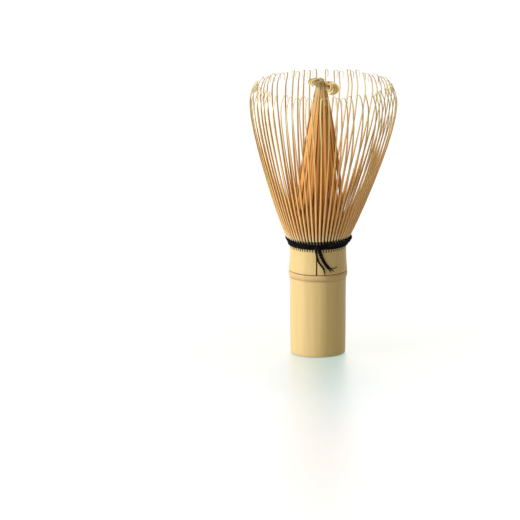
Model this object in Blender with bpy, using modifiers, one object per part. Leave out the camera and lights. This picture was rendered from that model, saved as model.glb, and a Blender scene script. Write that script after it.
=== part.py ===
# Matcha whisk: a bamboo culm whose upper end is split into an outer basket and an inner
# bunch of tines, with a black thread wound round the roots of the tines.
# Metres, +Z up. The whisk stands on its foot, and the knot of the thread faces -Y.

import math

import bmesh
import bpy
from mathutils import Matrix, Vector

# Handle, turned about the whisk's own axis
HANDLE_HEIGHT = 0.0478
FOOT_RADIUS = 0.01135
FOOT_EASE = 0.0004
SHANK_RADIUS = 0.01158
SWELL_RADIUS = 0.01165
SWELL_HEIGHT = 0.0036
WALL_THICKNESS = 0.0031
NODE_HEIGHT = 0.0340
RIDGE_RADIUS = 0.01218
RIDGE_WIDTH = 0.0023
DIAPHRAGM_THICKNESS = 0.0018
GROOVE_WIDTH = 0.0005
GROOVE_DEPTH = 0.00022
COLLAR_FOOT_RADIUS = 0.01210
COLLAR_TOP_RADIUS = 0.01162
COLLAR_TAPER_HEIGHT = 0.0088
COLLAR_STEPS = 3
KERF_WIDTH = 0.00025
KERF_DEPTH = 0.0029
TURNED_SEGMENTS = 64

# Splitting of the culm: staves first, then tines
STAVES = 16
TINES_PER_STAVE = 4
ROOT_HEIGHT = 0.0008
ROOT_COVER = 0.00015
STAVE_FLARE = 0.00106
OUTER_ROOT_DEPTH = 0.0015
INNER_ROOT_DEPTH = 0.0012
SEAT_GAP = 0.0003

# Outer basket
OUTER_TINE_WIDTH = 0.00076
OUTER_TINE_THICKNESS = 0.00056
OUTER_TIP_WIDTH = 0.00036
OUTER_TIP_THICKNESS = 0.00020
RIM_RADIUS = 0.0306
RIM_RISE = 0.0581
FLARE_ANGLE = math.radians(38)
FLARE_REACH = 0.0028
RIM_REACH = 0.0149
SHOULDER_RADIUS = 0.0120
SHOULDER_ANGLE = math.radians(36)
HOOK_RADIUS = 0.0009
HOOK_ANGLE = math.radians(185)
HOOK_TURN = math.radians(44)
TINE_WANDER = 0.22
WANDER_WAVES = 5
OUTER_STATIONS = (0.0, 0.1, 0.24, 0.42, 0.62, 0.82, 1.0)

# Inner bunch
INNER_TINE_WIDTH = 0.00060
INNER_TINE_THICKNESS = 0.00044
INNER_TIP_THICKNESS = 0.00016
INNER_FILL = 0.58
NECK_RADIUS = 0.00193
BUNCH_TOP_RISE = 0.0674
BUNCH_ROOT_ANGLE = math.radians(1.4)
BUNCH_ROOT_REACH = 0.0190
BUNCH_NECK_ANGLE = math.radians(15.6)
BUNCH_NECK_REACH = 0.0115
CURL_RADIUS_RIGHT = 0.0025
CURL_RADIUS_LEFT = 0.0015
CURL_RADIUS_FRONT = 0.0011
CURL_ANGLE = math.radians(205)
INNER_STATIONS = (0.0, 0.24, 0.5, 0.76, 1.0)

# The head leans to +X as it rises
HEAD_LEAN = 0.00199
BUNCH_LEAN = 0.00105
LEAN_RISE = 0.060

# Thread
THREAD_DIAMETER = 0.00086
INNER_THREAD_DIAMETER = 0.00085
THREAD_TURNS = 2
TURN_PITCH = 0.0016
CLIMB_ANGLE = math.radians(30)
END_ANGLE = math.radians(14)
POINTS_PER_TURN = 24
SELF_GAP_STEPS = 120
SELF_GAP_APART = math.radians(90)
KNOT_WIDTH = 0.0022
KNOT_DEPTH = 0.0014
KNOT_HEIGHT = 0.0020
KNOT_OFFSET = -0.0002
TAIL_DIAMETER = 0.0007
TAIL_SPREAD = 0.0011
TAIL_DROP = 0.0018
LEFT_TAIL_SWING = 0.0029
LEFT_TAIL_LENGTH = 0.0126
RIGHT_TAIL_SWING = 0.00585
RIGHT_TAIL_LENGTH = 0.0111

# Worked out from the sizes above
TINES = STAVES * TINES_PER_STAVE
TINE_PITCH = math.tau / TINES
STAVE_PITCH = math.tau / STAVES
FRONT = -math.pi / 2
UPPER_BORE_RADIUS = COLLAR_TOP_RADIUS - WALL_THICKNESS
FOOT_BORE_RADIUS = FOOT_RADIUS - WALL_THICKNESS
COLLAR_FOOT = NODE_HEIGHT + RIDGE_WIDTH / 2 + GROOVE_WIDTH
ROOT_BOTTOM = HANDLE_HEIGHT + SEAT_GAP
ROOT_TOP = ROOT_BOTTOM + ROOT_HEIGHT
ROOT_MIDDLE = ROOT_BOTTOM + ROOT_HEIGHT / 2
OUTER_STAVE_BACK = COLLAR_TOP_RADIUS + STAVE_FLARE
OUTER_STAVE_FRONT = OUTER_STAVE_BACK - OUTER_ROOT_DEPTH
INNER_STAVE_BACK = OUTER_STAVE_FRONT - SEAT_GAP
INNER_STAVE_FRONT = INNER_STAVE_BACK - INNER_ROOT_DEPTH
OUTER_ROOT_RADIUS = OUTER_STAVE_BACK - ROOT_COVER - OUTER_TINE_THICKNESS / 2
INNER_ROOT_RADIUS = INNER_STAVE_BACK - ROOT_COVER - INNER_TINE_THICKNESS / 2
LOWER_TURN_RADIUS = COLLAR_TOP_RADIUS + SEAT_GAP + THREAD_DIAMETER / 2
UPPER_TURN_RADIUS = OUTER_STAVE_BACK + SEAT_GAP + THREAD_DIAMETER / 2
UPPER_TURN_Z = ROOT_TOP - SEAT_GAP / 2 - THREAD_DIAMETER / 2


def mix(a, b, t):
    return a + (b - a) * t


def ease(t):
    """0 below 0, 1 above 1, and smooth in between."""
    t = min(max(t, 0.0), 1.0)
    return t * t * (3.0 - 2.0 * t)


def lean_at(height, most):
    """How far to +X the head's own centre line has gone at a height."""
    return most * ease((height - ROOT_TOP) / LEAN_RISE)


# The origin lies under the middle of the whole whisk, so the handle stands off it by the lean.
HANDLE_X = -lean_at(ROOT_MIDDLE + RIM_RISE, HEAD_LEAN)

for old in list(bpy.data.objects):
    bpy.data.objects.remove(old, do_unlink=True)

whisk = bpy.data.collections.new("matcha_whisk")
tools = bpy.data.collections.new("cutters")
bpy.context.scene.collection.children.link(whisk)
bpy.context.scene.collection.children.link(tools)

whisk_axis = bpy.data.objects.new("whisk_axis", None)
whisk_axis.location = (HANDLE_X, 0.0, 0.0)
whisk.objects.link(whisk_axis)


def make_material(name, colour, roughness):
    material = bpy.data.materials.new(name)
    material.use_nodes = True
    shader = material.node_tree.nodes["Principled BSDF"]
    shader.inputs["Base Color"].default_value = (*colour, 1.0)
    shader.inputs["Roughness"].default_value = roughness
    shader.inputs["Metallic"].default_value = 0.0
    return material


HANDLE_BAMBOO = make_material("handle_bamboo", (0.80, 0.64, 0.34), 0.42)
OUTER_BAMBOO = make_material("outer_tine_bamboo", (0.76, 0.47, 0.20), 0.5)
INNER_BAMBOO = make_material("inner_tine_bamboo", (0.66, 0.34, 0.12), 0.5)
BLACK_THREAD = make_material("black_thread", (0.012, 0.013, 0.018), 0.8)


def add_part(name, data, material):
    """A sub-part, placed on the whisk's axis."""
    part = bpy.data.objects.new(name, data)
    part.data.materials.append(material)
    part.parent = whisk_axis
    whisk.objects.link(part)
    return part


def add_tool(name, mesh):
    """A shape that only cuts or joins, and isn't a sub-part."""
    tool = bpy.data.objects.new(name, mesh)
    tool.parent = whisk_axis
    tool.hide_render = True
    tool.display_type = "WIRE"
    tools.objects.link(tool)
    return tool


def add_boolean(part, tool, operation):
    modifier = part.modifiers.new(tool.name, "BOOLEAN")
    modifier.operation = operation
    modifier.solver = "EXACT"
    modifier.object = tool


def finish_mesh(bm, name):
    """A mesh from a bmesh of closed shells, with its faces turned outwards."""
    bmesh.ops.recalc_face_normals(bm, faces=bm.faces)
    mesh = bpy.data.meshes.new(name)
    bm.to_mesh(mesh)
    bm.free()
    return mesh


def loft(bm, sections):
    """A closed solid through four-cornered sections whose shape changes along the way."""
    rings = [[bm.verts.new(corner) for corner in section] for section in sections]
    for lower, upper in zip(rings, rings[1:]):
        for side in range(4):
            after = (side + 1) % 4
            bm.faces.new((lower[side], lower[after], upper[after], upper[side]))
    bm.faces.new(list(reversed(rings[0])))
    bm.faces.new(rings[-1])


def cubic(start, start_pull, end_pull, end, t):
    """A point on a cubic curve in the plane of (radius, height)."""
    s = 1.0 - t
    weights = (s ** 3, 3 * s * s * t, 3 * s * t * t, t ** 3)
    corners = (start, start_pull, end_pull, end)
    radius = sum(w * c[0] for w, c in zip(weights, corners))
    height = sum(w * c[1] for w, c in zip(weights, corners))
    return radius, height


def around(azimuth, radius, height, lean=0.0):
    """A point at an azimuth, radius and height about the whisk's axis."""
    return Vector((radius * math.cos(azimuth) + lean, radius * math.sin(azimuth), height))


# Handle

def collar_radius(height):
    """The outside of the collar, which narrows from the node up to the thread."""
    t = min(max((height - COLLAR_FOOT) / COLLAR_TAPER_HEIGHT, 0.0), 1.0)
    return mix(COLLAR_FOOT_RADIUS, COLLAR_TOP_RADIUS, math.sin(0.5 * math.pi * t))


def handle_outline():
    """Half of the handle's section: diaphragm, upper bore, outside, foot bore, diaphragm."""
    diaphragm_top = NODE_HEIGHT + DIAPHRAGM_THICKNESS / 2
    diaphragm_bottom = NODE_HEIGHT - DIAPHRAGM_THICKNESS / 2
    ridge_top = NODE_HEIGHT + RIDGE_WIDTH / 2
    ridge_bottom = NODE_HEIGHT - RIDGE_WIDTH / 2
    outline = [
        (0.0, diaphragm_top),
        (UPPER_BORE_RADIUS, diaphragm_top),
        (UPPER_BORE_RADIUS, HANDLE_HEIGHT),
        (COLLAR_TOP_RADIUS, HANDLE_HEIGHT),
    ]
    for step in range(COLLAR_STEPS, -1, -1):
        height = COLLAR_FOOT + COLLAR_TAPER_HEIGHT * step / COLLAR_STEPS
        outline.append((collar_radius(height), height))
    outline += [
        (COLLAR_FOOT_RADIUS - GROOVE_DEPTH, COLLAR_FOOT - GROOVE_WIDTH / 2),
        (RIDGE_RADIUS - GROOVE_DEPTH / 2, ridge_top),
        (RIDGE_RADIUS, NODE_HEIGHT),
        (RIDGE_RADIUS - GROOVE_DEPTH / 2, ridge_bottom),
        (SWELL_RADIUS, ridge_bottom - GROOVE_WIDTH),
        (SHANK_RADIUS, ridge_bottom - SWELL_HEIGHT),
        (FOOT_RADIUS, FOOT_EASE),
        (FOOT_RADIUS - FOOT_EASE, 0.0),
        (FOOT_BORE_RADIUS, 0.0),
        (FOOT_BORE_RADIUS, diaphragm_bottom),
        (0.0, diaphragm_bottom),
    ]
    return outline


def make_kerf_cutter():
    """Thin blades that part the top of the culm's wall between the tines."""
    inner = UPPER_BORE_RADIUS - SEAT_GAP
    outer = COLLAR_FOOT_RADIUS + SEAT_GAP
    height = KERF_DEPTH + ROOT_HEIGHT
    size = Vector((outer - inner, KERF_WIDTH, height))
    middle = Vector(((inner + outer) / 2, 0.0, HANDLE_HEIGHT - KERF_DEPTH + height / 2))
    bm = bmesh.new()
    for index in range(TINES):
        blade = bmesh.ops.create_cube(bm, size=1.0)["verts"]
        bmesh.ops.scale(bm, vec=size, verts=blade)
        bmesh.ops.translate(bm, vec=middle, verts=blade)
        turn = Matrix.Rotation(FRONT + index * TINE_PITCH, 3, "Z")
        bmesh.ops.rotate(bm, cent=(0.0, 0.0, 0.0), matrix=turn, verts=blade)
    return add_tool("kerf_cutter", finish_mesh(bm, "kerf_cutter"))


def make_handle():
    """The whole part of the culm, open at the foot and closed inside its node."""
    bm = bmesh.new()
    corners = [bm.verts.new((radius, 0.0, height)) for radius, height in handle_outline()]
    for start, end in zip(corners, corners[1:]):
        bm.edges.new((start, end))
    mesh = bpy.data.meshes.new("handle_culm")
    bm.to_mesh(mesh)
    bm.free()
    handle = add_part("handle_culm", mesh, HANDLE_BAMBOO)
    screw = handle.modifiers.new("turned", "SCREW")
    screw.steps = TURNED_SEGMENTS
    screw.render_steps = TURNED_SEGMENTS
    screw.use_merge_vertices = True
    screw.merge_threshold = 0.00001
    screw.use_smooth_shade = True
    add_boolean(handle, make_kerf_cutter(), "DIFFERENCE")


# Tines

def sweep(points, facings, widths, thicknesses):
    """Sections of a tine along its points, each turned to face its own azimuth."""
    sections = []
    last = len(points) - 1
    for k, point in enumerate(points):
        along = (points[min(k + 1, last)] - points[max(k - 1, 0)]).normalized()
        across = around(facings[k] + math.pi / 2, widths[k] / 2, 0.0)
        outward = across.cross(along).normalized() * (thicknesses[k] / 2)
        sections.append([
            point + outward + across,
            point - outward + across,
            point - outward - across,
            point + outward - across,
        ])
    return sections


def arc_steps(heading, arcs):
    """Steps along a chain of arcs, as (sideways, rise) from where the chain starts."""
    side = 0.0
    rise = 0.0
    for radius, angle, steps in arcs:
        for _ in range(steps):
            after = heading + angle / steps
            side += radius * (math.cos(heading) - math.cos(after))
            rise += radius * (math.sin(after) - math.sin(heading))
            heading = after
            yield side, rise


def outer_tine(index):
    """One tine of the basket: flared from its root, upright at the rim, hooked inwards."""
    azimuth = FRONT + (index + 0.5) * TINE_PITCH
    wave = math.tau * WANDER_WAVES * index / TINES
    wander = TINE_WANDER * TINE_PITCH * math.sin(2 * wave)
    hook_turn = HOOK_TURN * math.sin(wave)
    root = (OUTER_ROOT_RADIUS, ROOT_MIDDLE)
    root_pull = (
        root[0] + FLARE_REACH * math.sin(FLARE_ANGLE),
        root[1] + FLARE_REACH * math.cos(FLARE_ANGLE),
    )
    rim = (RIM_RADIUS - OUTER_TIP_THICKNESS / 2, ROOT_MIDDLE + RIM_RISE)
    rim_pull = (rim[0], rim[1] - RIM_REACH)
    points = []
    facings = []
    for t in OUTER_STATIONS:
        radius, height = cubic(root, root_pull, rim_pull, rim, t)
        facing = azimuth + wander * t * t
        points.append(around(facing, radius, height, lean_at(height, HEAD_LEAN)))
        facings.append(facing)
    rim_point = points[-1]
    rim_facing = facings[-1]
    shoulder_steps = 2
    arcs = ((SHOULDER_RADIUS, SHOULDER_ANGLE, shoulder_steps), (HOOK_RADIUS, HOOK_ANGLE, 4))
    for step, (inward, rise) in enumerate(arc_steps(0.0, arcs), start=1):
        facing = rim_facing + hook_turn * min(step / shoulder_steps, 1.0)
        points.append(rim_point + around(facing, -inward, rise))
        facings.append(facing)
    shares = [k / (len(points) - 1) for k in range(len(points))]
    widths = [mix(OUTER_TINE_WIDTH, OUTER_TIP_WIDTH, share) for share in shares]
    thicknesses = [mix(OUTER_TINE_THICKNESS, OUTER_TIP_THICKNESS, share) for share in shares]
    return sweep(points, facings, widths, thicknesses)


def inner_tine(index):
    """One tine of the bunch: drawn in to the neck, then curled outwards and down."""
    azimuth = FRONT + (index + 1.0) * TINE_PITCH
    root = (INNER_ROOT_RADIUS, ROOT_MIDDLE)
    root_pull = (
        root[0] + BUNCH_ROOT_REACH * math.sin(BUNCH_ROOT_ANGLE),
        root[1] + BUNCH_ROOT_REACH * math.cos(BUNCH_ROOT_ANGLE),
    )
    sideways = math.cos(azimuth)
    curl_radius_side = CURL_RADIUS_RIGHT if sideways > 0 else CURL_RADIUS_LEFT
    curl_radius = mix(CURL_RADIUS_FRONT, curl_radius_side, sideways ** 2)
    curl_rise = curl_radius * (1 + math.sin(BUNCH_NECK_ANGLE))
    neck = (NECK_RADIUS - INNER_TIP_THICKNESS / 2, ROOT_MIDDLE + BUNCH_TOP_RISE - curl_rise)
    neck_pull = (
        neck[0] + BUNCH_NECK_REACH * math.sin(BUNCH_NECK_ANGLE),
        neck[1] - BUNCH_NECK_REACH * math.cos(BUNCH_NECK_ANGLE),
    )
    path = [cubic(root, root_pull, neck_pull, neck, t) for t in INNER_STATIONS]
    for outward, rise in arc_steps(-BUNCH_NECK_ANGLE, ((curl_radius, CURL_ANGLE, 4),)):
        path.append((neck[0] + outward, neck[1] + rise))
    points = []
    widths = []
    thicknesses = []
    for k, (radius, height) in enumerate(path):
        share = k / (len(path) - 1)
        thickness = mix(INNER_TINE_THICKNESS, INNER_TIP_THICKNESS, share)
        room = INNER_FILL * TINE_PITCH * (radius - thickness / 2)
        points.append(around(azimuth, radius, height, lean_at(height, BUNCH_LEAN)))
        widths.append(min(INNER_TINE_WIDTH, room))
        thicknesses.append(thickness)
    return sweep(points, [azimuth] * len(points), widths, thicknesses)


def root_slice(middle, inner, outer):
    """The slice of culm that the tines of one stave share."""
    half = STAVE_PITCH / 2 - SEAT_GAP / (2 * inner)
    sections = []
    for share in (-1.0, 0.0, 1.0):
        azimuth = middle + share * half
        sections.append([
            around(azimuth, outer, ROOT_BOTTOM),
            around(azimuth, outer, ROOT_TOP),
            around(azimuth, inner, ROOT_TOP),
            around(azimuth, inner, ROOT_BOTTOM),
        ])
    return sections


def make_stave(name, middle, inner, outer, tines, material):
    """A root slice with its tines joined to it."""
    bm = bmesh.new()
    loft(bm, root_slice(middle, inner, outer))
    stave = add_part(name, finish_mesh(bm, name), material)
    bm = bmesh.new()
    for tine in tines:
        loft(bm, tine)
    fingers = add_tool(name + "_fingers", finish_mesh(bm, name + "_fingers"))
    add_boolean(stave, fingers, "UNION")


def make_staves():
    for stave in range(STAVES):
        first = stave * TINES_PER_STAVE
        members = range(first, first + TINES_PER_STAVE)
        middle = FRONT + (first + TINES_PER_STAVE / 2) * TINE_PITCH
        make_stave(
            f"outer_tines_{stave + 1:02d}", middle, OUTER_STAVE_FRONT, OUTER_STAVE_BACK,
            [outer_tine(index) for index in members], OUTER_BAMBOO,
        )
        make_stave(
            f"inner_tines_{stave + 1:02d}", middle + TINE_PITCH / 2, INNER_STAVE_FRONT,
            INNER_STAVE_BACK, [inner_tine(index) for index in members], INNER_BAMBOO,
        )


# Thread

def add_thread(name, points, diameter):
    """A round thread through its points, closed at both ends."""
    curve = bpy.data.curves.new(name, "CURVE")
    curve.dimensions = "3D"
    curve.bevel_depth = diameter / 2
    curve.bevel_resolution = 1
    curve.use_fill_caps = True
    spline = curve.splines.new("POLY")
    spline.points.add(len(points) - 1)
    for corner, point in zip(spline.points, points):
        corner.co = (*point, 1.0)
    spline.use_smooth = True
    add_part(name, curve, BLACK_THREAD)


def winding_point(angle):
    """A point of the outer winding, its angle counted from the front in turns of the thread."""
    climbed = 0.0
    for turn in range(1, THREAD_TURNS):
        start = turn * math.tau - CLIMB_ANGLE / 2
        climbed += ease((angle - start) / CLIMB_ANGLE)
    share = climbed / max(THREAD_TURNS - 1, 1)
    radius = mix(LOWER_TURN_RADIUS, UPPER_TURN_RADIUS, share)
    height = UPPER_TURN_Z - TURN_PITCH * (THREAD_TURNS - 1 - climbed)
    return around(FRONT + angle, radius, height)


def turn_angles(turns, points_per_turn):
    """Angles from one end of a winding to the other, evenly spaced."""
    steps = turns * points_per_turn
    last = turns * math.tau - END_ANGLE
    return [mix(END_ANGLE, last, k / steps) for k in range(steps + 1)]


def print_least_gap(name, diameter):
    """The least distance of the winding to itself, measured on points along its middle."""
    angles = turn_angles(THREAD_TURNS, SELF_GAP_STEPS)
    samples = [(angle, winding_point(angle)) for angle in angles]
    apart = [
        (a - b).length
        for k, (angle, a) in enumerate(samples)
        for other, b in samples[k + 1:]
        if other - angle > SELF_GAP_APART
    ]
    print(f"{name}: least gap to itself {1000 * (min(apart) - diameter):.2f} mm")


def make_windings():
    """The turns outside the tines, and the turn that parts the two rows of tines."""
    points = [winding_point(angle) for angle in turn_angles(THREAD_TURNS, POINTS_PER_TURN)]
    add_thread("thread_outer_winding", points, THREAD_DIAMETER)
    print_least_gap("thread_outer_winding", THREAD_DIAMETER)
    height = ROOT_TOP + SEAT_GAP + INNER_THREAD_DIAMETER / 2
    flare = (height - ROOT_MIDDLE) * math.tan(FLARE_ANGLE)
    outer_row = OUTER_ROOT_RADIUS + flare - OUTER_TINE_THICKNESS / 2
    inner_row = INNER_ROOT_RADIUS + INNER_TINE_THICKNESS / 2
    radius = (outer_row + inner_row) / 2
    angles = turn_angles(1, POINTS_PER_TURN)
    points = [around(FRONT + angle, radius, height) for angle in angles]
    add_thread("thread_inner_turn", points, INNER_THREAD_DIAMETER)
    width = 2 * math.sin(END_ANGLE) * radius
    print(f"thread_inner_turn: gap between its ends {1000 * width:.2f} mm")


def knot_place():
    """The middle of the knot, in front of the winding."""
    back = UPPER_TURN_RADIUS + THREAD_DIAMETER / 2 + SEAT_GAP
    height = UPPER_TURN_Z - TURN_PITCH * (THREAD_TURNS - 1) / 2
    return Vector((KNOT_OFFSET, -(back + KNOT_DEPTH / 2), height))


def make_knot():
    bm = bmesh.new()
    bmesh.ops.create_uvsphere(bm, u_segments=10, v_segments=7, radius=0.5)
    size = Vector((KNOT_WIDTH, KNOT_DEPTH, KNOT_HEIGHT))
    bmesh.ops.scale(bm, vec=size, verts=bm.verts)
    bmesh.ops.translate(bm, vec=knot_place(), verts=bm.verts)
    mesh = finish_mesh(bm, "thread_knot")
    mesh.shade_smooth()
    add_part("thread_knot", mesh, BLACK_THREAD)


def make_tail(name, side, swing, length, route):
    """A loose end: down from under the knot, then along the collar on a route given in shares
    of its swing to the right and of its length down from the tines' roots."""
    knot = knot_place()
    exit_x = knot.x + side * TAIL_SPREAD / 2
    under = knot.z - KNOT_HEIGHT / 2 - SEAT_GAP
    lie = SEAT_GAP + TAIL_DIAMETER / 2
    points = [Vector((exit_x, knot.y, under))]
    for share in (0.35, 0.8):
        height = under - share * TAIL_DROP
        depth = mix(-knot.y, collar_radius(height) + lie, share)
        points.append(Vector((exit_x, -depth, height)))
    for across, down in route:
        x = across * swing
        height = ROOT_BOTTOM - down * length
        reach = collar_radius(height) + lie
        points.append(Vector((x, -math.sqrt(reach * reach - x * x), height)))
    add_thread(name, points, TAIL_DIAMETER)


def make_tails():
    make_tail("thread_tail_left", -1, LEFT_TAIL_SWING, LEFT_TAIL_LENGTH, (
        (-0.20, 0.41), (-0.07, 0.57), (0.21, 0.70), (0.57, 0.79), (0.81, 0.88), (1.0, 1.0),
    ))
    make_tail("thread_tail_right", 1, RIGHT_TAIL_SWING, RIGHT_TAIL_LENGTH, (
        (0.20, 0.41), (0.35, 0.60), (0.56, 0.77), (0.78, 0.92), (1.0, 1.0),
    ))


make_handle()
make_staves()
make_windings()
make_knot()
make_tails()
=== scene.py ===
import math
import random

import bpy
from mathutils import Matrix, Vector


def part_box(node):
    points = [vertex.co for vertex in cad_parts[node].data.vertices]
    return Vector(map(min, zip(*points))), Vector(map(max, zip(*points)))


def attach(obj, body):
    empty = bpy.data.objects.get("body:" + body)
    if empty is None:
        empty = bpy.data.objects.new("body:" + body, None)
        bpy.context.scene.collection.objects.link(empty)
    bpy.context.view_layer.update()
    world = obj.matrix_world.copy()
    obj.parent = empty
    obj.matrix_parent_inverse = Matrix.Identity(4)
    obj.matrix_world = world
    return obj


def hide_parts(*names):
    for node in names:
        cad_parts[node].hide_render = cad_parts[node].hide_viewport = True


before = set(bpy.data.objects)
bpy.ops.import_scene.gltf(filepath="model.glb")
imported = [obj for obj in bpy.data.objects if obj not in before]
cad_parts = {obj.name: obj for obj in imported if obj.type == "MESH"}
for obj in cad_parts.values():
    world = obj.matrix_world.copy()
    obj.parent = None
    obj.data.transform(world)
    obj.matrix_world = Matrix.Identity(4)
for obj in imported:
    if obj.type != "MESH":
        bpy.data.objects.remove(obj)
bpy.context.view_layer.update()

# A matcha whisk: one bamboo culm whose top is split into 64 pairs of tines, laced with thread.
# Lengths are written as number * mm, or as plain millimetres in a list that is scaled where it
# is read. Named angles are in degrees, unless their note says radians.

mm = 0.001
front = math.radians(-90)                  # the knot's side, which the camera looks at
chance = random.Random(64)                 # the only source of chance, always read in the same order

culmLow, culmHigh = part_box("handle_culm")
axisX = (culmLow.x + culmHigh.x) / 2       # the culm's own axis; the head leans off it
culmTop = culmHigh.z

whisk = {
    "tines": 64,                           # in each of the two rows
    "staves": 16,                          # a maker splits the culm in 16, then each in 4
    "headLean": 1.99 * mm,                 # how far the basket goes to +X at its rim
    "headRise": 60 * mm,                   # height over which it does so
    "bunchLean": 1.6 * mm,                 # the bunch leans evenly, this far at its neck
    "bunchRise": 64.5 * mm,
    "leanFrom": 48.9 * mm,
    "rootGap": 0.05 * mm,                  # the tines start this far over the culm
    "crackOff": -0.63 * mm,                # a drying crack, beside the axis at the thread's loose end
}
pitch = math.tau / whisk["tines"]
perStave = whisk["tines"] // whisk["staves"]


def say(stage):
    print("whisk:", stage)


# Small helpers for shapes.

def deselectAll():
    if bpy.context.mode != "OBJECT":
        bpy.ops.object.mode_set(mode="OBJECT")
    bpy.ops.object.select_all(action="DESELECT")


def makeActive(*objects):
    deselectAll()
    for each in objects:
        each.select_set(True)
    bpy.context.view_layer.objects.active = objects[0]


def selectEdges(shape, test):
    # selects the edges that pass a test, and stays in edit mode
    makeActive(shape)
    bpy.ops.object.mode_set(mode="EDIT")
    bpy.ops.mesh.select_mode(type="EDGE")
    bpy.ops.mesh.select_all(action="DESELECT")
    bpy.ops.object.mode_set(mode="OBJECT")
    for edge in shape.data.edges:
        edge.select = test(edge)
    bpy.ops.object.mode_set(mode="EDIT")


def bakePlace(shape):
    # the object goes to the origin and its place into its mesh
    makeActive(shape)
    bpy.ops.object.transform_apply(location=True, rotation=True, scale=True)


def joinAll(name, shapes):
    makeActive(*shapes)
    bpy.ops.object.join()
    shapes[0].name = name
    shapes[0].data.name = name
    return shapes[0]


def addObject(name, data):
    holder = bpy.data.objects.new(name, data)
    bpy.context.scene.collection.objects.link(holder)
    return holder


def addBlock(place, size):
    deselectAll()
    bpy.ops.mesh.primitive_cube_add(size=1, location=place)
    block = bpy.context.object
    block.scale = size
    bakePlace(block)
    return block


def weld(shape):
    # merges doubles and turns the faces outwards
    makeActive(shape)
    bpy.ops.object.mode_set(mode="EDIT")
    bpy.ops.mesh.select_all(action="SELECT")
    bpy.ops.mesh.remove_doubles(threshold=0.002 * mm)
    bpy.ops.mesh.normals_make_consistent(inside=False)
    bpy.ops.object.mode_set(mode="OBJECT")


def finishPiece(piece, node):
    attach(piece, "root")
    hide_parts(node)


def mix(a, b, t):
    return a + (b - a) * t


def ease(t):
    t = min(max(t, 0.0), 1.0)
    return t * t * (3 - 2 * t)


def track(stops, t):
    # a value read off a list of (share, value) stops
    for (t0, a), (t1, b) in zip(stops, stops[1:]):
        if t <= t1:
            return mix(a, b, (t - t0) / (t1 - t0))
    return stops[-1][1]


def basketLean(height):
    t = min(max((height - whisk["leanFrom"]) / whisk["headRise"], 0.0), 1.0)
    return whisk["headLean"] * math.sin(math.pi / 2 * t ** 1.2)


def bunchLean(height):
    return whisk["bunchLean"] * max(0.0, height - whisk["leanFrom"]) / whisk["bunchRise"]


def aroundAxis(azimuth, radius, height, lean=0.0):
    return Vector((axisX + lean + radius * math.cos(azimuth), radius * math.sin(azimuth), height))


def pulled(point, length, angle):
    # the handle of a curve at this (radius, height) point, at an angle off the upright
    return (point[0] + length * math.sin(angle), point[1] + length * math.cos(angle))


def cubicPoint(start, startPull, endPull, end, t):
    s = 1 - t
    weights = (s ** 3, 3 * s * s * t, 3 * s * t * t, t ** 3)
    corners = (start, startPull, endPull, end)
    return tuple(sum(w * c[k] for w, c in zip(weights, corners)) for k in (0, 1))


# Materials.

def hexColour(code):
    # an sRGB hex code as Blender's linear colour
    parts = [int(code[k:k + 2], 16) / 255 for k in (1, 3, 5)]
    linear = [p / 12.92 if p <= 0.04045 else ((p + 0.055) / 1.055) ** 2.4 for p in parts]
    return (*linear, 1.0)


def feed(tree, node, inputs):
    # an input is a plain value, another node's output, or a node whose first output is meant
    for name, value in inputs.items():
        if isinstance(value, bpy.types.Node):
            value = value.outputs[0]
        if isinstance(value, bpy.types.NodeSocket):
            tree.links.new(value, node.inputs[name])
        else:
            node.inputs[name].default_value = value


def addNode(tree, kind, inputs=None, stops=None, **settings):
    # a node with its settings and links; the first two stops of a ramp are its ends
    node = tree.nodes.new(kind)
    for name, value in settings.items():
        setattr(node, name, value)
    feed(tree, node, inputs or {})
    for k, (place, colour) in enumerate(stops or ()):
        stop = node.color_ramp.elements[k] if k < 2 else node.color_ramp.elements.new(place)
        stop.position = place
        stop.color = hexColour(colour)
    return node


mixA, mixB, mixOut = 6, 7, 2               # the colour sockets of a Mix node set to RGBA


def newMaterial(name):
    material = bpy.data.materials.new(name)
    material.use_nodes = True
    tree = material.node_tree
    return material, tree, tree.nodes["Principled BSDF"]


def shownWithin(tree, *limits):
    # how much a mark shows: each limit takes a value, the two ends of a span, and the levels at
    # those ends, and the levels of all the limits are multiplied
    shown = 1.0
    for value, (low, high), (atLow, atHigh) in limits:
        level = addNode(tree, "ShaderNodeMapRange", {
            "Value": value, "From Min": low, "From Max": high, "To Min": atLow, "To Max": atHigh,
        })
        shown = addNode(tree, "ShaderNodeMath", {0: shown, 1: level}, operation="MULTIPLY")
    return shown


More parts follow.
